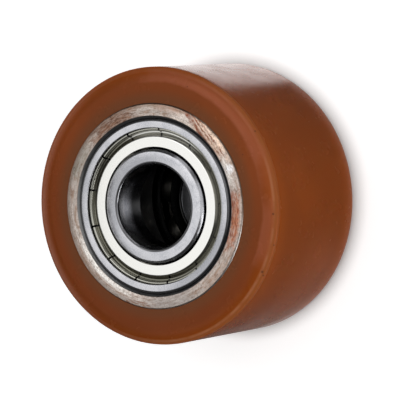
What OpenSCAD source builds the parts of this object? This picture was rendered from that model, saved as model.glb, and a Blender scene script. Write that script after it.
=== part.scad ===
// Polyurethane trolley wheel on two deep-groove ball bearings.
// A steel tube hub has a polyurethane tyre cast and bonded round it, and a bearing
// pressed into each end. Each bearing has one pressed shield, on its outward side.
// +Z runs along the axle, the wheel stands on one end of its hub, and the origin is
// at its centre. The lower bearing is the upper one turned over.

/* [Tyre] */
// Diameter of the tread
tread_d = 98.5; // [92:0.5:120]
// How far the tyre's flat side lies below the end of the hub
tyre_step = 0.5; // [0.1:0.1:2]
// Radius of the rounded shoulder between side and tread
shoulder_r = 9; // [5:0.5:12]
// Height that the rounded shoulder falls through
shoulder_drop = 1.9; // [1:0.1:3]
// Radius of the turned edge where the shoulder meets the tread
edge_r = 0.9; // [0.3:0.1:2]

/* [Hub] */
// Length of the hub over its two end faces
hub_w = 60; // [50:1:90]
// Outside diameter of the hub, where the tyre is bonded to it
hub_d = 73; // [68:0.5:80]
// Bevel on the outer corner of each end
hub_bevel = 0.45; // [0.1:0.05:1]
// Chamfer at the mouth of each bearing seat
seat_lead_in = 1.1; // [0.3:0.1:1.5]
// Bore of the hub between the two bearing seats
hub_bore_d = 55; // [48:0.5:57]
// How far each bearing lies below the end of the hub
bearing_recess = 0.2; // [0:0.1:1.5]

/* [Bearing rings] */
// Bore of the inner ring, which takes the axle
bore_d = 30; // [28:0.5:31]
// Outside diameter of the outer ring
outer_d = 62; // [61:0.5:64]
// Width of both rings
ring_w = 16; // [15:0.5:20]
// Radius of the rounded corners that meet the axle and the seat
corner_r = 1; // [0.4:0.1:1.5]
// Depth of each raceway below the shoulders beside it
race_depth = 2; // [1:0.1:2.2]
// Width of the bevel between the inner ring's face and its shoulder, seen from the end
inner_bevel_w = 0.75; // [0.3:0.05:1]
// Depth of that bevel along the axle
inner_bevel_h = 0.9; // [0.3:0.1:1.5]
// Width of the step that the shield sits on, from the outer ring's shoulder to the lip
shield_step_w = 2; // [1.9:0.05:2.1]
// Height of the lip that holds the shield's rim
lip_h = 0.5; // [0.3:0.05:0.7]
// How far the shield's groove is cut back behind the lip
groove_depth = 0.4; // [0.2:0.05:0.6]
// Small bevel that breaks the sharp edges of the rings
edge_break = 0.15; // [0.05:0.05:0.3]

/* [Balls and cage] */
// Diameter of a ball, for each unit of the ring section from bore to outside
ball_share = 0.5953; // [0.55:0.0001:0.61]
// Number of balls in each bearing
ball_count = 9; // [7:1:9]
// Play between a ball and the bottom of a raceway
race_play = 0.02; // [0.01:0.01:0.05]
// Radius of the raceway groove for each unit of ball radius
race_fit = 1.03; // [1.02:0.005:1.06]
// Thickness of the cage's sheet steel
cage_t = 0.9; // [0.5:0.1:1.2]
// Gap between the cage's band and the shoulder of either ring
cage_gap = 0.8; // [0.5:0.05:1.2]
// Play between a ball and its pocket
pocket_play = 0.12; // [0.05:0.01:0.2]
// Diameter of a rivet's shank
rivet_d = 1.6; // [1:0.1:2]
// Diameter of a rivet's head
rivet_head_d = 2.6; // [2:0.1:3]
// Height of a rivet's domed head
rivet_head_h = 0.5; // [0.2:0.1:0.8]

/* [Shield] */
// Thickness of the shield's sheet steel
shield_t = 0.4; // [0.3:0.05:0.5]
// How far the shield's flat lies below the face of the rings
shield_depth = 1.1; // [0.7:0.1:1.5]
// How far the shield's trough lies below its flat
trough_drop = 1.7; // [1.5:0.05:2.2]
// Angle of the slope between the flat and the trough
slope = 45; // [40:1:60]
// Radius of the bend at the top of the slope, to mid-sheet
flat_bend_r = 0.5; // [0.3:0.05:0.8]
// Radius of the bend in the trough, to mid-sheet
trough_bend_r = 0.4; // [0.3:0.05:0.5]
// Radius of the curled rim, to mid-sheet
curl_r = 0.45; // [0.35:0.05:0.5]
// Depth of the curled rim's centre below the face of the rings
curl_depth = 1.5; // [1.3:0.05:1.7]
// Gap between the shield and the inner ring's shoulder
shield_gap = 0.7; // [0.3:0.05:1.2]
// Gap between the curled rim and the groove that holds it
curl_fit = 0.05; // [0:0.01:0.1]
// Number of slits in the curled rim
slit_count = 13; // [9:1:18]
// Width of a slit
slit_w = 0.9; // [0.4:0.05:1.2]
// Turn of the first slit from +X
slit_turn = 22.5; // [0:0.1:27]

/* [Hidden] */
$fn = 96;
// Overshoot that keeps a cut clear of the face that it starts from
cut = 1;

tread_r = tread_d / 2;
hub_r = hub_d / 2;
hub_bore_r = hub_bore_d / 2;
hub_h = hub_w / 2;
seat_r = outer_d / 2;
seat_floor = hub_h - bearing_recess - ring_w;

bore_r = bore_d / 2;
outer_r = outer_d / 2;
ring_h = ring_w / 2;
bearing_z = hub_h - bearing_recess - ring_h;

pitch_r = (bore_r + outer_r) / 2;
ball_r = ball_share * (outer_r - bore_r) / 2;
race_r = ball_r * race_fit;
inner_race_r = pitch_r - ball_r - race_play;
outer_race_r = pitch_r + ball_r + race_play;
inner_shoulder_r = inner_race_r + race_depth;
outer_shoulder_r = outer_race_r - race_depth;
inner_face_r = inner_shoulder_r - inner_bevel_w;
lip_r = outer_shoulder_r + shield_step_w;
groove_r = lip_r + groove_depth;

pocket_r = ball_r + pocket_play;
cage_inner_r = inner_shoulder_r + cage_gap;
cage_outer_r = outer_shoulder_r - cage_gap;
ball_step = 360 / ball_count;

shield_seat = shield_depth + trough_drop + shield_t;
curl_x = groove_r - curl_fit - shield_t / 2 - curl_r;
riser_x = curl_x - curl_r;
trough_x = riser_x - trough_bend_r;
trough_y = trough_bend_r + shield_t / 2 - shield_seat;
flat_y = -shield_depth - shield_t / 2;

// Steps in the round stretches of an outline
shoulder_steps = 12;
bend_steps = 6;

// The balls of one bearing by number, and every part by name
ball_numbers = [for (i = [1 : ball_count]) i];
bearing_names = ["upper", "lower"];
bearing_parts = concat(
    ["outer_ring", "inner_ring", "shield", "cage_outboard", "cage_inboard", "cage_rivets"],
    [for (i = ball_numbers) str("ball_", i)]
);

// Points on an arc round a centre. Angles run anticlockwise from +X.
function arc(centre, r, from, to, steps) =
    [for (i = [0 : steps])
        let (a = from + (to - from) * i / steps)
        centre + r * [cos(a), sin(a)]];

function reversed(points) =
    [for (i = [len(points) - 1 : -1 : 0]) points[i]];

// An outline that is the same above and below the X axis, from its upper half
function both_halves(points) =
    concat(points, reversed([for (p = points) [p[0], -p[1]]]));

// The direction square to a path at one of its points
function square_to(path, i) =
    let (
        before = path[max(i - 1, 0)],
        after = path[min(i + 1, len(path) - 1)],
        along = (after - before) / norm(after - before)
    )
    [-along[1], along[0]];

// The outline of a sheet of even thickness that is bent along a path
function bent_sheet(path, thickness) =
    let (half = [for (i = [0 : len(path) - 1]) square_to(path, i) * thickness / 2])
    concat(
        [for (i = [0 : len(path) - 1]) path[i] + half[i]],
        reversed([for (i = [0 : len(path) - 1]) path[i] - half[i]])
    );

module turned(points) {
    rotate_extrude() polygon(points);
}

module round_the_pitch(start = 0) {
    for (i = ball_numbers)
        rotate([0, 0, start + ball_step * (i - 1)])
            translate([pitch_r, 0, 0])
                children();
}

// The tyre's side is flat near the hub. A large arc rounds it off, and a small one
// leads from there into the tread.
function tyre_outline() =
    let (
        side = hub_h - tyre_step,
        fall = acos(1 - shoulder_drop / shoulder_r),
        shoulder_x = tread_r - edge_r - (shoulder_r - edge_r) * sin(fall),
        shoulder_centre = [shoulder_x, side - shoulder_r],
        edge_centre = shoulder_centre + (shoulder_r - edge_r) * [sin(fall), cos(fall)]
    )
    concat(
        [[hub_r, side]],
        arc(shoulder_centre, shoulder_r, 90, 90 - fall, shoulder_steps),
        arc(edge_centre, edge_r, 90 - fall, 0, bend_steps)
    );

module tyre() {
    color([0.56, 0.25, 0.09])
        turned(both_halves(tyre_outline()));
}

// A turned steel tube, bored at both ends for the bearings up to a shoulder
module hub() {
    color([0.72, 0.66, 0.62])
        difference() {
            turned(both_halves([
                [hub_bore_r, hub_h],
                [hub_r - hub_bevel, hub_h],
                [hub_r, hub_h - hub_bevel]
            ]));
            for (end = [0, 180])
                rotate([end, 0, 0])
                    turned([
                        [0, seat_floor],
                        [seat_r, seat_floor],
                        [seat_r, hub_h - seat_lead_in],
                        [seat_r + seat_lead_in, hub_h],
                        [seat_r + seat_lead_in, hub_h + cut],
                        [0, hub_h + cut]
                    ]);
        }
}

// A ball raceway, as the ring of round section that is ground out of a bearing ring
module raceway(bottom_r, centre_r) {
    rotate_extrude()
        translate([centre_r, 0])
            circle(r = abs(bottom_r - centre_r));
}

// Both sides of the ring have the recess for a shield, behind a thin lip
module outer_ring() {
    color([0.80, 0.80, 0.82])
        difference() {
            turned(both_halves(concat(
                [
                    [outer_shoulder_r, ring_h - shield_seat],
                    [groove_r, ring_h - shield_seat],
                    [groove_r, ring_h - lip_h - groove_depth],
                    [lip_r, ring_h - lip_h],
                    [lip_r, ring_h - edge_break],
                    [lip_r + edge_break, ring_h]
                ],
                arc([outer_r - corner_r, ring_h - corner_r], corner_r, 90, 0, bend_steps)
            )));
            raceway(outer_race_r, outer_race_r - race_r);
        }
}

module inner_ring() {
    color([0.80, 0.80, 0.82])
        difference() {
            turned(both_halves(concat(
                arc([bore_r + corner_r, ring_h - corner_r], corner_r, 180, 90, bend_steps),
                [
                    [inner_face_r - edge_break, ring_h],
                    [inner_face_r, ring_h - edge_break],
                    [inner_shoulder_r, ring_h - inner_bevel_h]
                ]
            )));
            raceway(inner_race_r, inner_race_r + race_r);
        }
}

// Middle of the shield's sheet, from its inner edge out to the end of the curl,
// with the face of the rings at height 0
function shield_path() =
    let (
        slope_foot = [trough_x - trough_bend_r * sin(slope), trough_y - trough_bend_r * cos(slope)],
        bend_foot_y = flat_y - flat_bend_r * (1 - cos(slope)),
        bend_foot_x = slope_foot[0] - (bend_foot_y - slope_foot[1]) / tan(slope),
        flat_end_x = bend_foot_x - flat_bend_r * sin(slope)
    )
    concat(
        [[inner_shoulder_r + shield_gap, flat_y]],
        arc([flat_end_x, flat_y - flat_bend_r], flat_bend_r, 90, 90 - slope, bend_steps),
        arc([trough_x, trough_y], trough_bend_r, -90 - slope, 0, bend_steps),
        arc([curl_x, -curl_depth], curl_r, 180, 0, 2 * bend_steps)
    );

// A pressed steel ring. Its rim is slit, and the tongues between the slits are curled
// over into the outer ring's groove.
module shield() {
    color([0.90, 0.89, 0.84])
        translate([0, 0, ring_h])
            difference() {
                turned(bent_sheet(shield_path(), shield_t));
                for (i = [0 : slit_count - 1])
                    rotate([0, 0, slit_turn + 360 / slit_count * i])
                        translate([trough_x, -slit_w / 2, -shield_seat - cut])
                            cube([groove_r - trough_x, slit_w, shield_seat + cut]);
            }
}

// Half of the riveted cage: a flat band, with a round pocket pressed out over each ball
module cage_half() {
    pocket_top = pocket_r + cage_t;
    color([0.60, 0.58, 0.52])
        difference() {
            intersection() {
                difference() {
                    cylinder(r = cage_outer_r, h = pocket_top + cut);
                    translate([0, 0, -cut])
                        cylinder(r = cage_inner_r, h = pocket_top + 3 * cut);
                }
                union() {
                    cylinder(r = outer_r, h = cage_t);
                    round_the_pitch() sphere(r = pocket_top);
                }
            }
            round_the_pitch() sphere(r = pocket_r);
            round_the_pitch(ball_step / 2)
                translate([0, 0, -cut])
                    cylinder(d = rivet_d, h = cage_t + 2 * cut);
        }
}

module cage_outboard() {
    cage_half();
}

module cage_inboard() {
    rotate([180, 0, 0]) cage_half();
}

// One rivet between each two balls, with a domed head on both faces of the cage
module cage_rivets() {
    head_r = rivet_head_d / 2;
    dome_r = (head_r * head_r + rivet_head_h * rivet_head_h) / (2 * rivet_head_h);
    color([0.66, 0.64, 0.58])
        round_the_pitch(ball_step / 2) {
            translate([0, 0, -cage_t])
                cylinder(d = rivet_d, h = 2 * cage_t);
            for (end = [0, 180])
                rotate([end, 0, 0])
                    intersection() {
                        translate([0, 0, cage_t + rivet_head_h - dome_r])
                            sphere(r = dome_r);
                        translate([0, 0, cage_t])
                            cylinder(r = head_r + cut, h = rivet_head_h + cut);
                    }
        }
}

module ball(i) {
    color([0.86, 0.86, 0.88])
        rotate([0, 0, ball_step * (i - 1)])
            translate([pitch_r, 0, 0])
                sphere(r = ball_r);
}

// Places a piece of the upper bearing, or of the lower one, which is turned over
module in_bearing(side) {
    rotate([side == "upper" ? 0 : 180, 0, 0])
        translate([0, 0, bearing_z])
            children();
}

tyre();
hub();
for (side = bearing_names) {
    in_bearing(side) outer_ring();
    in_bearing(side) inner_ring();
    in_bearing(side) shield();
    in_bearing(side) cage_outboard();
    in_bearing(side) cage_inboard();
    in_bearing(side) cage_rivets();
    for (i = ball_numbers)
        in_bearing(side) ball(i);
}
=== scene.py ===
# Polyurethane trolley wheel: a steel tube hub with a polyurethane tyre cast round it, and a
# shielded deep-groove ball bearing pressed into each end. +Z runs along the axle, out of the
# end that the photograph shows, and +X is the photograph's up. Lengths are in metres.
import math
import bpy
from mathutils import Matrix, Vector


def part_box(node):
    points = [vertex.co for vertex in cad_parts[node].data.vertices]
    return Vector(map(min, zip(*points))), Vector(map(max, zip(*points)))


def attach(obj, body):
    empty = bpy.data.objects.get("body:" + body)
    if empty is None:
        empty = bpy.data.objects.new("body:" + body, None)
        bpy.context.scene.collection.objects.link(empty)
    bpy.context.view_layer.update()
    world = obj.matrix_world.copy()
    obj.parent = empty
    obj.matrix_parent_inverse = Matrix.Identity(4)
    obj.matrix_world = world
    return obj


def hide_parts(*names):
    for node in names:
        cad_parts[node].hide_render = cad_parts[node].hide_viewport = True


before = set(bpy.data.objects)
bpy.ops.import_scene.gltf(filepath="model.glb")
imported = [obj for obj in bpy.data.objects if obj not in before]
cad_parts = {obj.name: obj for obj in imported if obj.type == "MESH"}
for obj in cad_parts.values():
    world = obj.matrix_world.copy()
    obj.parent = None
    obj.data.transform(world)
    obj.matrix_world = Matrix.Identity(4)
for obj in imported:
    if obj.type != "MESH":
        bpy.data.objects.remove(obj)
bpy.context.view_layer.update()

# Hub: a short length of thick-walled steel tube, bored at both ends for the bearings and
# faced in a lathe. Its end faces were left bare, so they show the tool's rings, and a little
# rust has crept in from the edges.
mm = 0.001
hub_r, hub_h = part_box("hub")[1].x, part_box("hub")[1].z
seat_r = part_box("upper_outer_ring")[1].x
seat_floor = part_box("upper_outer_ring")[0].z
hub_bore_r = 27.5 * mm
hub_bevel = 0.45 * mm
hub_edge = 0.1 * mm
lead_in = 1.1 * mm
turn_steps = 180
rounded_from = math.radians(20)
smooth_up_to = math.radians(25)
fine_feed, broad_feed = 0.12 * mm, 0.8 * mm
hub_tool_depth = 0.02 * mm
hub_roughness = (0.26, 0.45)
even_split, wide_split = (0.35, 0.65), (0.3, 0.7)
rim_film_and_shade_from = (34.2 * mm, 36.2 * mm)
lined_from = (16 * mm, 19 * mm)
rim_lit_from = (20 * mm, 32 * mm)
steel_grey = (0.46, 0.41, 0.37, 1)
ring_shade, ring_light = (0.50, 0.44, 0.40, 1), (0.66, 0.58, 0.53, 1)
film_brown = (0.33, 0.21, 0.15, 1)
rim_film_and_shade_brown = (0.29, 0.195, 0.145, 1)
copper_red = (0.50, 0.20, 0.11, 1)
rust_line_red = (0.24, 0.065, 0.028, 1)
rust_brown = (0.13, 0.05, 0.025, 1)
grime_brown = (0.24, 0.18, 0.14, 1)
scored_brown = (0.15, 0.09, 0.06, 1)
seat_shade_grey = (0.20, 0.20, 0.20, 1)
rim_shade, rim_light = (0.13, 0.085, 0.06, 1), (0.42, 0.39, 0.37, 1)


def start_empty_handed():
    """Deselects everything, with the solids that the frame leaves selected."""
    for thing in bpy.context.selected_objects:
        thing.select_set(False)


def both_ends(outline):
    """An outline of (radius, height) points for the upper end, with the lower end's added."""
    return outline + [(r, -z) for r, z in reversed(outline)]


def turn(name, outline, edge=0.0):
    """Turns a piece round the axle from its outline of (radius, height) points, and rounds
    its corners where an edge is given."""
    start_empty_handed()
    r, z = outline[0]
    # A tiny plane, merged to one point, is where the outline starts.
    bpy.ops.mesh.primitive_plane_add(size=mm, location=(r, 0, z))
    piece = bpy.context.object
    piece.name = piece.data.name = name
    bpy.ops.object.transform_apply()
    bpy.ops.object.mode_set(mode="EDIT")
    bpy.ops.mesh.select_all(action="SELECT")
    bpy.ops.mesh.merge(type="CENTER")
    for (r, z), (next_r, next_z) in zip(outline, outline[1:] + outline[:1]):
        bpy.ops.mesh.extrude_region_move(
            TRANSFORM_OT_translate={"value": (next_r - r, 0, next_z - z)})
    bpy.ops.mesh.select_all(action="SELECT")
    bpy.ops.mesh.spin(steps=turn_steps, angle=math.tau, center=(0, 0, 0), axis=(0, 0, 1))
    bpy.ops.mesh.select_all(action="SELECT")
    bpy.ops.mesh.remove_doubles(threshold=0.001 * mm)
    bpy.ops.mesh.normals_make_consistent(inside=False)
    bpy.ops.object.mode_set(mode="OBJECT")
    if edge:
        rounding = piece.modifiers.new("rounding", "BEVEL")
        rounding.width, rounding.segments = edge, 2
        rounding.limit_method, rounding.angle_limit = "ANGLE", rounded_from
        bpy.ops.object.modifier_apply(modifier="rounding")
    bpy.ops.object.shade_smooth_by_angle(angle=smooth_up_to)
    return piece


def shader_of(finish):
    """The sockets of the material's shader."""
    return finish.node_tree.nodes["Principled BSDF"].inputs


def finish_of(name, colour, metallic, roughness):
    """A new material with one shader."""
    finish = bpy.data.materials.new(name)
    finish.use_nodes = True
    shader = shader_of(finish)
    shader["Base Color"].default_value = colour
    shader["Metallic"].default_value = metallic
    shader["Roughness"].default_value = roughness
    return finish


def add(finish, kind, sockets, **settings):
    """Adds a node. Each socket takes a value or another node's output."""
    node = finish.node_tree.nodes.new("ShaderNode" + kind)
    for name, value in settings.items():
        setattr(node, name, value)
    for name, value in sockets.items():
        if isinstance(value, bpy.types.NodeSocket):
            finish.node_tree.links.new(value, node.inputs[name])
        else:
            node.inputs[name].default_value = value
    return node.outputs


def feed(finish, socket, value):
    """Gives the shader a value that varies over the piece."""
    finish.node_tree.links.new(value, shader_of(finish)[socket])


def maths(finish, operation, *values):
    """One sum, with numbers or other nodes' outputs."""
    return add(finish, "Math", dict(enumerate(values)), operation=operation)[0]


def all_of(finish, first, *others):
    """Where all of these shares hold at once."""
    for other in others:
        first = maths(finish, "MULTIPLY", first, other)
    return first


def any_of(finish, first, *others):
    """Where any of these shares holds."""
    for other in others:
        first = maths(finish, "MAXIMUM", first, other)
    return first


def apart(finish, value, target):
    """How far a value is from a target, either way."""
    return maths(finish, "ABSOLUTE", maths(finish, "SUBTRACT", value, target))


def between(finish, value, low, high, start=0.0, end=1.0):
    """Start where the value is low, end where it is high, and a soft change between."""
    return add(finish, "MapRange", {0: value, 1: low, 2: high, 3: start, 4: end},
               interpolation_type="SMOOTHSTEP")[0]


def blend(finish, share, first, second):
    """A colour between two others."""
    return add(finish, "Mix", {0: share, 6: first, 7: second}, data_type="RGBA")[2]


def point_on(finish):
    """The point on the piece."""
    return add(finish, "TexCoord", {})["Object"]


def round_the_axle(finish):
    """The point on the piece, its distance from the axle, and its height."""
    place = point_on(finish)
    flat = add(finish, "VectorMath", {0: place, 1: (1, 1, 0)}, operation="MULTIPLY")[0]
    radius = add(finish, "VectorMath", {0: flat}, operation="LENGTH")["Value"]
    height = add(finish, "SeparateXYZ", {0: place})["Z"]
    return place, radius, height


def towards(finish, place, way):
    """How far a point lies from the middle in one direction."""
    return add(finish, "VectorMath", {0: place, 1: way}, operation="DOT_PRODUCT")["Value"]


def blotches(finish, place, size, detail=4.0, roughness=0.6):
    """Uneven blotches of about one size."""
    return add(finish, "TexNoise", {"Vector": place, "Scale": 1 / size, "Detail": detail,
                                    "Roughness": roughness})["Fac"]


def tool_rings(finish, place, radius, height, pitch, drift):
    """The rings that a lathe tool or grinding wheel leaves, by distance and height. They
    drift a few times in each metre, so they aren't even."""
    along = maths(finish, "MULTIPLY", maths(finish, "ADD", radius, height), 1 / (pitch * drift))
    return add(finish, "TexNoise", {"Vector": place, "W": along, "Scale": drift, "Detail": 2},
               noise_dimensions="4D")["Fac"]


def round_stretch(finish, place, radius, length, width):
    """Coordinates for a pattern that is drawn out round the axle, from the side of +X."""
    x, y, z = add(finish, "SeparateXYZ", {0: place}).values()
    turned = maths(finish, "MULTIPLY", maths(finish, "ARCTAN2", y, x), hub_r / length)
    across = maths(finish, "MULTIPLY", maths(finish, "ADD", radius, z), 1 / width)
    return add(finish, "CombineXYZ", {0: turned, 1: across, 2: z})[0]


def relief(finish, height, depth):
    """Marks of one depth that are too fine for the mesh."""
    feed(finish, "Normal", add(finish, "Bump", {"Height": height, "Distance": depth})[0])


def round_the_clock(turn_cw, out, height):
    """A point by its turn in degrees from +X towards -Y, and its distance from the axle."""
    angle = math.radians(turn_cw)
    return out * math.cos(angle), -out * math.sin(angle), height


def patch(finish, place, radius, ragged, turn_cw, out, reach, spread):
    """A ragged patch on the upper end, with its reach round the axle and spread across. It
    fades out from 0.7 to 1.5 times these."""
    middle = round_the_clock(turn_cw, out, hub_h)
    away = add(finish, "VectorMath", {0: place, 1: middle}, operation="DISTANCE")["Value"]
    far = any_of(finish, maths(finish, "MULTIPLY", away, 1 / reach),
                 maths(finish, "MULTIPLY", apart(finish, radius, out), 1 / spread))
    return between(finish, maths(finish, "ADD", far, ragged), 1.5, 0.7)


hub = turn("turned_hub", both_ends([
    (hub_bore_r, seat_floor),
    (seat_r, seat_floor),
    (seat_r, hub_h - lead_in),
    (seat_r + lead_in, hub_h),
    (hub_r - hub_bevel, hub_h),
    (hub_r, hub_h - hub_bevel),
]), edge=hub_edge)

bare_steel = finish_of("bare_steel", steel_grey, 1.0, 0.4)
place, radius, height = round_the_axle(bare_steel)
fine_rings = tool_rings(bare_steel, place, radius, height, fine_feed, 25)
broad_rings = tool_rings(bare_steel, place, radius, height, broad_feed, 20)
mottle = blotches(bare_steel, place, 1.6 * mm, 5, 0.7)
drawn_out = round_stretch(bare_steel, place, radius, 5 * mm, 1.2 * mm)
streaks = blotches(bare_steel, drawn_out, 1.0, 5, 0.7)
finely_drawn = round_stretch(bare_steel, place, radius, 2.4 * mm, 0.45 * mm)
scores = blotches(bare_steel, finely_drawn, 1.0, 3, 0.65)

steel = blend(bare_steel, between(bare_steel, broad_rings, *even_split), ring_shade, ring_light)
film = between(bare_steel, streaks, 0.46, 0.64, 0.0, 0.8)
steel = blend(bare_steel, film, steel, film_brown)
# Near the rim: a brown film with painted shade in it, stronger towards the top.
to_top_left = towards(bare_steel, place, (0.966, 0.26, 0))
rim_film_and_shade = all_of(bare_steel, between(bare_steel, radius, *rim_film_and_shade_from),
                 between(bare_steel, to_top_left, -25 * mm, 25 * mm, 0.0, 0.7))
steel = blend(bare_steel, rim_film_and_shade, steel, rim_film_and_shade_brown)

# Stains, and pale spots that are painted glints: turn in degrees, distance from the axle, reach
# round it and spread across in mm, colour, and strength.
stains_and_glints = (
    (99, 33.6, 10.0, 2.1, copper_red, 1.0),
    (87, 32.6, 3.5, 1.0, (0.34, 0.10, 0.05, 1), 0.8),
    (24, 33.2, 5.0, 1.8, (0.95, 0.84, 0.76, 1), 0.8),
    (46, 34.0, 10.0, 2.6, (0.98, 0.74, 0.58, 1), 0.85),
    (68, 32.7, 6.0, 1.4, (0.98, 0.93, 0.88, 1), 0.8),
    (67.5, 34.2, 1.8, 4.0, (0.98, 0.98, 1.0, 1), 0.95),
    (135, 34.8, 6.0, 1.4, (0.42, 0.27, 0.19, 1), 0.6),
    (170, 33.5, 11.0, 3.5, (0.36, 0.345, 0.34, 1), 0.6),
    (225, 32.7, 16.0, 1.2, (1.0, 0.97, 0.92, 1), 1.0),
    (235, 35.2, 9.0, 1.2, (0.45, 0.29, 0.21, 1), 0.5),
    (298, 34.0, 7.5, 2.2, (0.27, 0.27, 0.23, 1), 0.65),
    (332, 33.5, 10.0, 2.4, (0.24, 0.125, 0.08, 1), 1.0),
    (12, 35.0, 5.0, 1.3, (0.40, 0.22, 0.15, 1), 0.6),
)
ragged = maths(bare_steel, "MULTIPLY", maths(bare_steel, "SUBTRACT", mottle, 0.3), 1.4)
for turn_cw, out, reach, spread, colour, strength in stains_and_glints:
    shown = patch(bare_steel, place, radius, ragged, turn_cw, out * mm, reach * mm, spread * mm)
    broken = between(bare_steel, streaks, 0.35, 0.6, 0.45 * strength, strength)
    steel = blend(bare_steel, all_of(bare_steel, shown, broken), steel, colour)

# Three straight lines of rust, each with its distance past the axle and its width in mm.
rust_lines = ((32.7, 0.9), (34.2, 0.4), (35.4, 0.3))
across = towards(bare_steel, place, (0.605, -0.796, 0))
across = maths(bare_steel, "ADD", across, maths(bare_steel, "MULTIPLY", mottle, 2.4 * mm))
to_top = towards(bare_steel, place, (1, 0, 0))
upper_part = between(bare_steel, to_top, *lined_from)
patchy = between(bare_steel, blotches(bare_steel, place, 2.2 * mm, 3), 0.40, 0.56, 0.45, 1.0)
for past, width in rust_lines:
    line = between(bare_steel, apart(bare_steel, across, past * mm),
                   0.4 * width * mm, 1.2 * width * mm, 0.95, 0.0)
    steel = blend(bare_steel, all_of(bare_steel, line, upper_part, patchy), steel, rust_line_red)

pits = between(bare_steel, mottle, 0.60, 0.70, 0.0, 0.7)
steel = blend(bare_steel, pits, steel, rust_brown)
grime = between(bare_steel, blotches(bare_steel, place, 0.6 * mm, 3, 0.7), 0.42, 0.66, 0.0, 0.5)
steel = blend(bare_steel, grime, steel, grime_brown)
scored = between(bare_steel, scores, 0.50, 0.66, 0.0, 0.45)
steel = blend(bare_steel, scored, steel, scored_brown)

# Rust that sits in the scores, in the stains' columns without the strength.
dotted_rust = (
    (98, 33.2, 11.0, 2.2, (0.20, 0.045, 0.02, 1)),
    (332, 33.7, 12.0, 2.4, (0.11, 0.05, 0.03, 1)),
    (192, 35.4, 7.0, 1.2, (0.22, 0.09, 0.05, 1)),
)
for turn_cw, out, reach, spread, colour in dotted_rust:
    shown = patch(bare_steel, place, radius, ragged, turn_cw, out * mm, reach * mm, spread * mm)
    dotted = between(bare_steel, scores, 0.46, 0.60, 0.0, 0.8)
    steel = blend(bare_steel, all_of(bare_steel, shown, dotted), steel, colour)

# Painted shade in the lead-in and the seat.
seat_shade = between(bare_steel, radius, seat_r + lead_in, seat_r + 0.8 * lead_in)
steel = blend(bare_steel, seat_shade, steel, seat_shade_grey)
rim = between(bare_steel, radius, hub_r - 0.9 * hub_bevel, hub_r - 0.6 * hub_bevel, 0.0, 0.85)
to_lower_right = towards(bare_steel, place, (-0.819, -0.574, 0))
rim_colour = blend(bare_steel, between(bare_steel, to_lower_right, *rim_lit_from),
                   rim_shade, rim_light)
steel = blend(bare_steel, rim, steel, rim_colour)
feed(bare_steel, "Base Color", steel)
feed(bare_steel, "Roughness", between(bare_steel, mottle, *wide_split, *hub_roughness))
relief(bare_steel, maths(bare_steel, "ADD", fine_rings, broad_rings), hub_tool_depth)
hub.data.materials.append(bare_steel)
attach(hub, "wheel")
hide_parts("hub")

# Tyre: brown polyurethane, cast round the hub and bonded to it, then turned on the tread and
# on both sides. It is a little translucent, so that the steel behind the inner edge darkens it.
# The glow of its thin edges is painted into the colour.
side_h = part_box("tyre")[1].z
tread_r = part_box("tyre")[1].x
shoulder_r = 9 * mm
shoulder_drop = 1.9 * mm
edge_r = 0.9 * mm
side_steps, tread_steps = 6, 12
highlight_line_r, highlight_line_w = tread_r - 1.35 * mm, (0.1 * mm, 0.6 * mm)
tan_from = (tread_r - 2.2 * mm, tread_r - 1.3 * mm)
rubbed_from = (tread_r - 2.2 * mm, tread_r - 1.2 * mm)
steel_shows = (hub_r + 1 * mm, hub_r + 6 * mm)
shade_ends, glow_ends = (6 * mm, 2 * mm), (12 * mm, 2 * mm)
side_ends, line_ends = (3.6 * mm, 2.2 * mm), (3 * mm, 2 * mm)
shaded_from, lit_from = (-30 * mm, 30 * mm), (-15 * mm, 25 * mm)
tyre_feed, tyre_tool_depth = 0.5 * mm, 0.007 * mm
tyre_roughness, rubbed_more = (0.21, 0.28), 0.22
cast_brown, warm_brown = (0.19, 0.043, 0.007, 1), (0.27, 0.058, 0.009, 1)
shaded_brown = (0.17, 0.034, 0.004, 1)
deep_olive = (0.145, 0.053, 0.019, 1)
lit_orange = (0.33, 0.072, 0.009, 1)
edge_tan, highlight_tan = (0.30, 0.095, 0.028, 1), (0.46, 0.19, 0.095, 1)
sheen_tan = (0.37, 0.11, 0.055, 1)
nick_brown, speck_brown = (0.07, 0.022, 0.01, 1), (0.08, 0.03, 0.015, 1)


def arc(centre, r, start, end, steps):
    """Points on an arc. Angles in degrees run from outwards to upwards."""
    turns = [math.radians(start + (end - start) * i / steps) for i in range(steps + 1)]
    return [(centre[0] + r * math.cos(a), centre[1] + r * math.sin(a)) for a in turns]


fall = math.degrees(math.acos(1 - shoulder_drop / shoulder_r))
lean = math.radians(90 - fall)
shoulder_x = tread_r - edge_r - (shoulder_r - edge_r) * math.cos(lean)
tread_h = side_h - shoulder_r + (shoulder_r - edge_r) * math.sin(lean)
side_points = [(hub_r + (shoulder_x - hub_r) * i / side_steps, side_h) for i in range(side_steps)]
tread_points = [(tread_r, tread_h * (1 - i / tread_steps)) for i in range(1, tread_steps)]
tyre = turn("cast_tyre", both_ends(
    side_points
    + arc((shoulder_x, side_h - shoulder_r), shoulder_r, 90, 90 - fall, 10)
    + arc((tread_r - edge_r, tread_h), edge_r, 90 - fall, 0, 6)[1:]
    + tread_points))

polyurethane = finish_of("polyurethane", cast_brown, 0.0, 0.38)
place, radius, height = round_the_axle(polyurethane)
from_end = maths(polyurethane, "SUBTRACT", side_h, maths(polyurethane, "ABSOLUTE", height))
cloud = blotches(polyurethane, place, 30 * mm, 1)
brown = blend(polyurethane, between(polyurethane, cloud, *wide_split, 0.25, 0.75),
              cast_brown, warm_brown)

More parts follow.
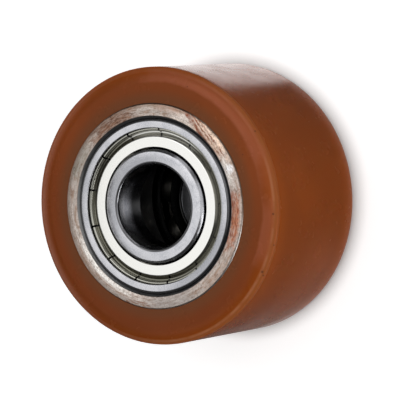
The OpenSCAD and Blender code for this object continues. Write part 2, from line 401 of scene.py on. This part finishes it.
# Some of the photograph's light is in the colour, at both ends: the sides are darker towards
# its foot, and have pale edges towards its right.
to_foot = towards(polyurethane, place, (-0.94, 0.34, 0))
in_shade = all_of(polyurethane, between(polyurethane, to_foot, *shaded_from, 0.0, 0.7),
                  between(polyurethane, from_end, *shade_ends))
brown = blend(polyurethane, in_shade, brown, shaded_brown)
# Painted glow along the shoulders, at both ends.
edge_glow = all_of(polyurethane, between(polyurethane, radius, shoulder_x, tread_r),
                 between(polyurethane, from_end, *glow_ends, 0.25, 0.75))
brown = blend(polyurethane, edge_glow, brown, lit_orange)

# Painted light towards the right: a pale band by the edge, and a thin painted highlight on it.
to_right = towards(polyurethane, place, (-0.26, -0.966, 0))
right_side = between(polyurethane, to_right, *lit_from, 0.15, 1.0)
on_side = between(polyurethane, from_end, *side_ends)
tan_band = all_of(polyurethane, on_side, right_side,
                  between(polyurethane, radius, *tan_from, 0.0, 0.7))
brown = blend(polyurethane, tan_band, brown, edge_tan)
line_breakup = between(polyurethane, blotches(polyurethane, place, 5 * mm), *even_split, 0.1, 0.5)
edge_line = all_of(
    polyurethane, line_breakup, right_side, between(polyurethane, from_end, *line_ends),
    between(polyurethane, apart(polyurethane, radius, highlight_line_r), *highlight_line_w, 1.0, 0.0))
brown = blend(polyurethane, edge_line, brown, highlight_tan)
over_steel = between(polyurethane, radius, *steel_shows, 0.8, 0.0)
brown = blend(polyurethane, over_steel, brown, deep_olive)

# Painted sheen in pale places on the shoulder: turn in degrees, distance from the axle, reach
# round it and spread across in mm.
sheen_places = ((36, 46.2, 26.0, 1.9), (101, 45.8, 10.0, 1.6))
uneven = maths(polyurethane, "SUBTRACT", blotches(polyurethane, place, 7 * mm, 2), 0.5)
for turn_cw, out, reach, spread in sheen_places:
    shown = patch(polyurethane, place, radius, uneven, turn_cw, out * mm, reach * mm, spread * mm)
    brown = blend(polyurethane, maths(polyurethane, "MULTIPLY", shown, 0.55), brown, sheen_tan)

# Nicks: turn in degrees, and distance from the axle, height and size in mm.
nicks = (
    (35.2, 49.25, 18.4, 0.55), (57.7, 48.6, 27.8, 0.5), (93.2, 47.7, 28.4, 0.6),
    (106.0, 49.0, 27.5, 0.45), (118.2, 48.2, 28.1, 0.7), (119.5, 48.9, 27.6, 0.5),
    (64.0, 41.0, 29.5, 0.35), (20.0, 44.6, 29.4, 0.3),
)
for turn_cw, out, up, size in nicks:
    nick = round_the_clock(turn_cw, out * mm, up * mm)
    away = add(polyurethane, "VectorMath", {0: place, 1: nick}, operation="DISTANCE")["Value"]
    dent = between(polyurethane, away, 0.3 * size * mm, size * mm, 0.8, 0.0)
    brown = blend(polyurethane, dent, brown, nick_brown)
specks = between(polyurethane, blotches(polyurethane, place, 0.8 * mm, 2), 0.75, 0.80, 0.0, 0.5)
brown = blend(polyurethane, specks, brown, speck_brown)
feed(polyurethane, "Base Color", brown)

dull = between(polyurethane, blotches(polyurethane, place, 9 * mm, 3), *even_split,
               *tyre_roughness)
rubbed = all_of(polyurethane, on_side,
                between(polyurethane, radius, *rubbed_from, 0.0, rubbed_more))
feed(polyurethane, "Roughness", maths(polyurethane, "ADD", dull, rubbed))
tool_marks = tool_rings(polyurethane, place, radius, height, tyre_feed, 30)
grain = blotches(polyurethane, place, 1.1 * mm, 4, 0.7)
relief(polyurethane, maths(polyurethane, "ADD", maths(polyurethane, "MULTIPLY", tool_marks, 0.4),
                           grain), tyre_tool_depth)
cast = shader_of(polyurethane)
cast["IOR"].default_value = 1.45
cast["Specular Tint"].default_value = (1.0, 0.36, 0.22, 1)
cast["Subsurface Weight"].default_value = 0.25
cast["Subsurface Radius"].default_value = (1.0, 0.35, 0.12)
cast["Subsurface Scale"].default_value = 3 * mm
tyre.data.materials.append(polyurethane)
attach(tyre, "wheel")
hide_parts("tyre")

# Bearing rings: an outer and an inner ring of hardened steel for each bearing. They are
# turned, hardened and ground, and the outer ring is pressed into its seat in the hub. The
# corners and the bevel beside the shield aren't ground, so they stay dark, with painted shade
# widening the bore's corner towards the lower right and a painted highlight on the bevel's right.
ring_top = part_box("upper_outer_ring")[1].z
ring_half = (ring_top - seat_floor) / 2
bearing_z = seat_floor + ring_half
bore_r = 15 * mm
corner_r = 1 * mm
edge_break = 0.15 * mm
ring_edge = 0.05 * mm
pitch_r = (bore_r + seat_r) / 2
ball_r = (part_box("upper_ball_1")[1].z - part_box("upper_ball_1")[0].z) / 2
race_play = 0.02 * mm
race_r = 1.03 * ball_r
race_depth = 2 * mm
step_w, step_depth = 2 * mm, 3.2 * mm
lip_h, groove_depth = 0.5 * mm, 0.4 * mm
bevel_w, bevel_h = 0.75 * mm, 0.9 * mm
outer_race_r, inner_race_r = pitch_r + ball_r + race_play, pitch_r - ball_r - race_play
outer_shoulder_r, inner_shoulder_r = outer_race_r - race_depth, inner_race_r + race_depth
lip_r = outer_shoulder_r + step_w
inner_face_r = inner_shoulder_r - bevel_w
grinding_feed, grinding_depth = 0.1 * mm, 0.003 * mm
ring_roughness = (0.16, 0.3)
corner_from = (bore_r + 0.05 * mm, bore_r + 0.3 * mm)
bevel_from = (inner_face_r, inner_face_r + 0.05 * mm)
bevel_ends = (21.5 * mm, 21 * mm)
bevel_lit_from = (17.5 * mm, 19.5 * mm)
mouth_from, mouth_ends = (24.5 * mm, 26.5 * mm), (28.8 * mm, 28.4 * mm)
mouth_rounding = (28.6 * mm, 28.9 * mm)
bore_dark_from = (25.6 * mm, 19.4 * mm)
far_wall_ends, gap_ends = (-21.5 * mm, -15.5 * mm), (-5 * mm, 5 * mm)
inside_from = (29 * mm, 28 * mm)
ring_grey = (0.52, 0.525, 0.56, 1)
smear_shade, smear_light = (0.42, 0.425, 0.455, 1), (0.60, 0.60, 0.63, 1)
grain_light = (0.72, 0.72, 0.74, 1)
oil_shade_grey = (0.20, 0.205, 0.225, 1)
as_turned = (0.11, 0.11, 0.115, 1)
mouth_light = (0.85, 0.85, 0.87, 1)
bore_shade = (0.015, 0.015, 0.016, 1)
inner_shade = (0.02, 0.02, 0.02, 1)


def half_race(bottom, shoulder):
    """The upper half of a raceway's outline, from beside its bottom up to the shoulder."""
    way = 1 if shoulder < bottom else -1
    centre = bottom - way * race_r
    reach = math.acos(abs(shoulder - centre) / race_r)
    return [(centre + way * race_r * math.cos(reach * i / 12), race_r * math.sin(reach * i / 12))
            for i in range(1, 13)]


def turned_over(piece, name):
    """A copy for the lower bearing, which is the upper one turned over."""
    start_empty_handed()
    other = piece.copy()
    other.data = piece.data.copy()
    other.name = other.data.name = name
    bpy.context.collection.objects.link(other)
    other.select_set(True)
    bpy.context.view_layer.objects.active = other
    other.rotation_euler.x = math.pi
    bpy.ops.object.transform_apply()
    return other


outer_ring = turn("upper_ground_outer_ring", [(r, z + bearing_z) for r, z in both_ends(
    half_race(outer_race_r, outer_shoulder_r) + [
        (outer_shoulder_r, ring_half - step_depth),
        (lip_r + groove_depth, ring_half - step_depth),
        (lip_r + groove_depth, ring_half - lip_h - groove_depth),
        (lip_r, ring_half - lip_h),
        (lip_r, ring_half - edge_break),
        (lip_r + edge_break, ring_half),
    ] + arc((seat_r - corner_r, ring_half - corner_r), corner_r, 90, 0, 12))], edge=ring_edge)

inner_ring = turn("upper_ground_inner_ring", [(r, z + bearing_z) for r, z in both_ends(
    arc((bore_r + corner_r, ring_half - corner_r), corner_r, 180, 90, 12) + [
        (inner_face_r - edge_break, ring_half),
        (inner_face_r, ring_half - edge_break),
        (inner_shoulder_r, ring_half - bevel_h),
    ] + half_race(inner_race_r, inner_shoulder_r)[::-1])], edge=ring_edge)

ground_steel = finish_of("ground_steel", ring_grey, 1.0, 0.2)
place, radius, height = round_the_axle(ground_steel)
off_wall = between(ground_steel, radius, *corner_from)
on_wall = maths(ground_steel, "SUBTRACT", 1.0, off_wall)
smears = blotches(ground_steel, place, 6 * mm)
ground = blend(ground_steel, between(ground_steel, smears, *even_split), smear_shade, smear_light)
sparkle = blotches(ground_steel, place, 0.35 * mm, 2)
ground = blend(ground_steel, between(ground_steel, sparkle, 0.4, 0.65, 0.0, 0.5), ground,
               grain_light)

# Oil and painted shade on the faces: the side it lies towards, where it starts that way and
# where it is full, and the same by distance from the axle, in mm.
oil_shade_films = (
    ((0.643, 0.766, 0), 0, 14, 19.8, 16.5),
    ((-0.707, -0.707, 0), 21, 29, 26, 27),
    ((0.26, 0.966, 0), 22, 34, 26, 27),
)
for way, starts, full, from_r, to_r in oil_shade_films:
    oiled_and_shaded = all_of(
        ground_steel, off_wall, between(ground_steel, radius, from_r * mm, to_r * mm),
        between(ground_steel, towards(ground_steel, place, way), starts * mm, full * mm, 0.0, 0.5))
    ground = blend(ground_steel, oiled_and_shaded, ground, oil_shade_grey)

outer_corner = between(ground_steel, radius, seat_r - corner_r, seat_r - 0.9 * corner_r)
bore_corner = all_of(
    ground_steel, between(ground_steel, radius, bore_r + 0.3 * corner_r, bore_r + 0.5 * corner_r),
    between(ground_steel, radius, bore_r + corner_r, bore_r + 0.9 * corner_r))
# Painted shade widens the dark corner of the bore towards the lower right.
to_lower_right = towards(ground_steel, place, (-0.574, -0.819, 0))
corner_shade = all_of(
    ground_steel, off_wall, between(ground_steel, to_lower_right, 0, 9 * mm),
    between(ground_steel, radius, bore_r + 1.3 * corner_r, bore_r + 1.1 * corner_r))
# Towards the right the bevel is left light, as a painted highlight.
to_right = towards(ground_steel, place, (0.087, -0.996, 0))
bevel = all_of(ground_steel, between(ground_steel, radius, *bevel_from, 0.0, 0.7),
               between(ground_steel, radius, *bevel_ends),
               between(ground_steel, to_right, *bevel_lit_from, 1.0, 0.1))
unground_and_shade = any_of(ground_steel, outer_corner, bore_corner, corner_shade, bevel)
ground = blend(ground_steel, unground_and_shade, ground, as_turned)

# The photograph's light in the bore is in the colour: the near ring's wall is light in its
# mouth and dark further in, and the far ring's is dark at its inner end.
mouth = all_of(ground_steel, on_wall, between(ground_steel, height, *mouth_from),
               between(ground_steel, height, *mouth_ends))
ground = blend(ground_steel, mouth, ground, mouth_light)
rounded_mouth = all_of(
    ground_steel, between(ground_steel, height, *mouth_rounding, 0.0, 0.6),
    between(ground_steel, radius, bore_r + 0.4 * corner_r, bore_r + 0.3 * corner_r))
ground = blend(ground_steel, rounded_mouth, ground, as_turned)
past_far_wall = maths(ground_steel, "ADD", between(ground_steel, height, *far_wall_ends, 0.0, 0.7),
                      between(ground_steel, height, *gap_ends, 0.0, 0.3))
in_bore = all_of(ground_steel, on_wall, past_far_wall,
                 between(ground_steel, height, *bore_dark_from))
ground = blend(ground_steel, in_bore, ground, bore_shade)

# Past the shields and inside the bearings the rings are painted dark as shade, raceways and all.
inside_shade = all_of(ground_steel, off_wall,
                 between(ground_steel, maths(ground_steel, "ABSOLUTE", height), *inside_from))
feed(ground_steel, "Base Color", blend(ground_steel, inside_shade, ground, inner_shade))
feed(ground_steel, "Roughness", between(ground_steel, smears, *even_split, *ring_roughness))
grinding = tool_rings(ground_steel, place, radius, height, grinding_feed, 30)
relief(ground_steel, grinding, grinding_depth)
for ring, kind, bodies in ((outer_ring, "outer_ring", ("wheel", "wheel")),
                           (inner_ring, "inner_ring", ("upper_inner_race", "lower_inner_race"))):
    ring.data.materials.append(ground_steel)
    pair = (ring, turned_over(ring, f"lower_ground_{kind}"))
    for piece, side, body in zip(pair, ("upper", "lower"), bodies):
        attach(piece, body)
        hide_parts(f"{side}_{kind}")

# Balls: nine hardened steel balls run between the rings of each bearing. They are ground and
# lapped to a polish, and lie out of sight behind the shields.
ball_light, ball_roughness = (0.74, 0.74, 0.76, 1), (0.06, 0.14)
polished_steel = finish_of("polished_steel", ball_light, 1.0, 0.08)
oil_spots = blotches(polished_steel, point_on(polished_steel), 2 * mm)
feed(polished_steel, "Roughness", between(polished_steel, oil_spots, *wide_split, *ball_roughness))
for name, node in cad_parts.items():
    if "_ball_" in name:
        node.data.materials.clear()
        node.data.materials.append(polished_steel)

# Cages: two bands of sheet steel hold the balls apart. They are pressed to pockets round the
# balls and lie on each other between them, where nine rivets with domed heads join them.
dent_depth = 0.01 * mm
cage_grey, cage_roughness = (0.24, 0.225, 0.20, 1), (0.28, 0.45)
rivet_grey = (0.55, 0.53, 0.49, 1)
pressed_cage = finish_of("pressed_cage", cage_grey, 1.0, 0.35)
place = point_on(pressed_cage)
feed(pressed_cage, "Roughness", between(pressed_cage, blotches(pressed_cage, place, 3 * mm),
                                        *wide_split, *cage_roughness))
relief(pressed_cage, blotches(pressed_cage, place, 0.4 * mm), dent_depth)
headed_wire = finish_of("headed_wire", rivet_grey, 1.0, 0.3)
relief(headed_wire, blotches(headed_wire, point_on(headed_wire), 0.3 * mm), dent_depth)
for name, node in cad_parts.items():
    if "_cage_" in name:
        node.data.materials.clear()
        node.data.materials.append(headed_wire if "rivets" in name else pressed_cage)

# Shields: bright sheet steel, pressed to a flat, a trough and a rim. The rim is slit into
# tongues, which are curled over into the outer ring's groove to hold the shield.
sheet = 0.4 * mm
shield_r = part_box("upper_shield")[1].x
shield_gap = 0.83 * mm
flat_depth = 1.35 * mm
bend_r = 0.5 * mm
slope = 45
trough_r, trough_floor = 0.4 * mm, 0.3 * mm
curl_r, curl_depth = 0.55 * mm, 1.9 * mm
slit_count, slit_w = 13, 0.7 * mm
first_slit = math.radians(22.5)
cutter_h = 4 * mm
trough_oil_shade_from = (ring_top - 2.4 * mm, ring_top - 2.65 * mm)
oil_shade_lighter_to_top = (20 * mm, 24.5 * mm)
sheet_light, curl_grey = (0.82, 0.815, 0.78, 1), (0.36, 0.355, 0.31, 1)
trough_oil_shade = (0.105, 0.10, 0.07, 1)


def sheet_outline(path, thickness):
    """The closed outline of a sheet from the points along its middle."""
    sides = ([], [])
    for i, (r, z) in enumerate(path):
        before, after = path[max(i - 1, 0)], path[min(i + 1, len(path) - 1)]
        along_r, along_z = after[0] - before[0], after[1] - before[1]
        scale = thickness / 2 / math.hypot(along_r, along_z)
        for side, way in zip(sides, (1, -1)):
            side.append((r - way * along_z * scale, z + way * along_r * scale))
    return sides[0] + sides[1][::-1]


leaning = math.radians(slope)
curl_x = shield_r - sheet / 2 - curl_r
trough_x = curl_x - curl_r - trough_r
flat_z = ring_top - flat_depth - sheet / 2
trough_z = ring_top - step_depth + trough_r + sheet / 2
foot_x = trough_x - trough_floor - trough_r * math.sin(leaning)
foot_z = trough_z - trough_r * math.cos(leaning)
bend_z = flat_z - bend_r * (1 - math.cos(leaning))
bend_x = foot_x - (bend_z - foot_z) / math.tan(leaning) - bend_r * math.sin(leaning)
shield = turn("upper_pressed_shield", sheet_outline(
    [(inner_shoulder_r + shield_gap, flat_z)]
    + arc((bend_x, flat_z - bend_r), bend_r, 90, 90 - slope, 10)
    + arc((trough_x - trough_floor, trough_z), trough_r, -90 - slope, -90, 5)
    + arc((trough_x, trough_z), trough_r, -90, 0, 8)
    + arc((curl_x, ring_top - curl_depth), curl_r, 180, 0, 20), sheet))

start_empty_handed()
slit_start = trough_x - 0.7 * trough_floor
slit_length = shield_r - slit_start + mm
slit_middle = (slit_start + slit_length / 2, 0, ring_top - cutter_h / 2)
for slit in range(slit_count):
    bpy.ops.mesh.primitive_cube_add(size=1, location=slit_middle)
    cutter = bpy.context.object
    cutter.scale = (slit_length, slit_w, cutter_h)
    bpy.ops.object.transform_apply()
    cutter.rotation_euler.z = first_slit + math.tau * slit / slit_count
    bpy.ops.object.transform_apply()
    slitting = shield.modifiers.new("slitting", "BOOLEAN")
    slitting.operation, slitting.solver, slitting.object = "DIFFERENCE", "EXACT", cutter
    with bpy.context.temp_override(object=shield, active_object=shield):
        bpy.ops.object.modifier_apply(modifier="slitting")
    bpy.data.objects.remove(cutter)

pressed_sheet = finish_of("pressed_sheet", sheet_light, 1.0, 0.18)
place, radius, height = round_the_axle(pressed_sheet)
# Oil and painted shade on the slope and in the trough, lighter towards the top.
on_slope = all_of(pressed_sheet,
                  between(pressed_sheet, radius, bend_x + 0.05 * mm, bend_x + 0.35 * mm, 0.0, 0.9),
                  between(pressed_sheet, radius, trough_x + 0.15 * mm, trough_x - 0.05 * mm))
in_trough = between(pressed_sheet, maths(pressed_sheet, "ABSOLUTE", height), *trough_oil_shade_from,
                    0.0, 0.9)
to_top = towards(pressed_sheet, place, (0.985, -0.17, 0))
trough_oiled_and_shaded = all_of(pressed_sheet, any_of(pressed_sheet, on_slope, in_trough),
               between(pressed_sheet, to_top, *oil_shade_lighter_to_top, 1.0, 0.4))
bright = blend(pressed_sheet, between(pressed_sheet, radius, trough_x, curl_x - curl_r),
               sheet_light, curl_grey)
feed(pressed_sheet, "Base Color", blend(pressed_sheet, trough_oiled_and_shaded, bright, trough_oil_shade))
shield.data.materials.append(pressed_sheet)
for piece, side in ((shield, "upper"), (turned_over(shield, "lower_pressed_shield"), "lower")):
    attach(piece, "wheel")
    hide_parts(f"{side}_shield")

# Floor: a plain white sweep, which the wheel stands on by one end of its hub. The camera sees
# it white. In reflections it is white only far out, and nearer the wheel it is dark, with
# light fields that stand for the cards which the photograph's reflections show.
floor_size = 20
white_paint, black_card = (0.82, 0.82, 0.82, 1), (0.12, 0.12, 0.12, 1)
far_from = (0.3, 0.5)
shown_from = (tread_r - 4 * mm, tread_r + 6 * mm)
past_tread = (tread_r - 3 * mm, tread_r - 1 * mm)
top_from, top_ends = (-42 * mm, -37 * mm), (tread_r + 28 * mm, tread_r + 19 * mm)
foot_ends, ring_ends = (tread_r + 24 * mm, tread_r + 4 * mm), (tread_r + 4 * mm, tread_r + 1 * mm)

start_empty_handed()
bpy.ops.mesh.primitive_plane_add(size=floor_size, location=(0, 0, -hub_h))
floor = bpy.context.object
floor.name = "floor"
white = finish_of("white_floor", white_paint, 0.0, 0.9)
shader_of(white)["Specular IOR Level"].default_value = 0.0
shader_of(white)["Emission Color"].default_value = (1, 1, 1, 1)
place, radius, height = round_the_axle(white)
x, y = add(white, "SeparateXYZ", {0: place}).values()[:2]
ray = add(white, "LightPath", {})
open_floor = all_of(white, between(white, radius, *shown_from),
                    between(white, radius, 0.2, 0.9, 0.62, 1.0))
beyond = between(white, radius, *far_from)
seen = any_of(white, ray["Is Camera Ray"], ray["Is Transmission Ray"],
              all_of(white, ray["Is Glossy Ray"], beyond))

# The light fields: past the picture's top, under the bore, and round the tread.
outside_tread = between(white, radius, *past_tread)
past_top = between(white, towards(white, place, (-0.3825, 0.9243, 0)), *top_from)
top_field = all_of(white, past_top, outside_tread, between(white, x, -10 * mm, 30 * mm),
                   between(white, radius, *top_ends))
bore_field = all_of(white, between(white, maths(white, "ABSOLUTE", x), 9 * mm, 2 * mm),
                    between(white, y, 0, -6 * mm, 0.06, 1.0),
                    between(white, radius, 16 * mm, 15 * mm))
foot_field = all_of(white, between(white, x, -5 * mm, -35 * mm, 0.0, 0.14),
                    between(white, radius, *foot_ends))
ring_field = between(white, radius, *ring_ends, 0.0, 0.35)
side_field = all_of(white, any_of(white, foot_field, ring_field), outside_tread)
mirrored = all_of(white, any_of(white, top_field, bore_field, side_field), ray["Is Glossy Ray"])
near_floor = maths(white, "SUBTRACT", ray["Is Glossy Ray"], any_of(white, mirrored, beyond))
feed(white, "Base Color", blend(white, near_floor, white_paint, black_card))
feed(white, "Emission Strength", any_of(white, mirrored, all_of(white, seen, open_floor)))
floor.data.materials.append(white)

# Light: five soft boxes overhead, above the picture and towards its right, and a pale room
# that is white to the camera. In reflections the room is white only low towards +Y.
sky_side, sky_from, sky_levels = (0.0, 0.42, 0.907), (0.5, 1.0), (0.08, 0.28)
back_side, back_from = (0.0, 0.99, 0.14), (0.82, 0.94)


def soft_box(name, spot, width, depth, brightness):
    """A flat lamp that faces the wheel. A brightness of 1 looks white in a mirror."""
    bpy.ops.object.light_add(type="AREA", location=spot)
    box = bpy.context.object
    box.name = box.data.name = name
    box.rotation_euler = (-box.location).to_track_quat("-Z", "Y").to_euler()
    box.data.shape, box.data.size, box.data.size_y = "RECTANGLE", width, depth
    box.data.energy = brightness * math.pi * width * depth
    box.visible_camera = False


soft_box("overhead_box", (0.0, 0.21, 0.54), 0.8, 0.36, 0.84)
soft_box("strip_box", (0.19, -0.06, 0.68), 0.8, 0.34, 1.1)
soft_box("top_box", (0.78, -0.25, 0.30), 0.45, 0.35, 1.4)
soft_box("front_box", (0.14, -0.65, 0.60), 1.0, 0.8, 0.78)
soft_box("side_box", (-0.40, -0.70, 0.10), 0.5, 0.35, 4.8)

world = bpy.data.worlds.new("studio")
bpy.context.scene.world = world
world.use_nodes = True
sky = world.node_tree.nodes["Background"]
way = add(world, "TexCoord", {})["Generated"]
ray = add(world, "LightPath", {})
glow = between(world, towards(world, way, sky_side), *sky_from, *sky_levels)
backdrop = all_of(world, between(world, towards(world, way, back_side), *back_from),
                  ray["Is Glossy Ray"])
glow = any_of(world, glow, backdrop, ray["Is Camera Ray"], ray["Is Transmission Ray"])
world.node_tree.links.new(glow, sky.inputs["Strength"])
sky.inputs["Color"].default_value = (1, 1, 1, 1)

# Camera: where the photograph was taken from, as its ellipses give it, with a long lens. It
# is turned so that +X is up in the picture.
camera_spot = (0.05365, -0.54487, 0.90803)
tip, swing, roll = -3.3495, 30.857, -90
long_lens, film_w = 264.06, 36

bpy.ops.object.camera_add(location=camera_spot)
camera = bpy.context.object
camera.rotation_mode = "YXZ"
camera.rotation_euler = [math.radians(turned) for turned in (tip, swing, roll)]
camera.data.lens = long_lens
camera.data.sensor_width = film_w
camera.data.clip_start, camera.data.clip_end = 0.01, 100
bpy.context.scene.camera = camera
bpy.context.scene.view_settings.view_transform = "Standard"
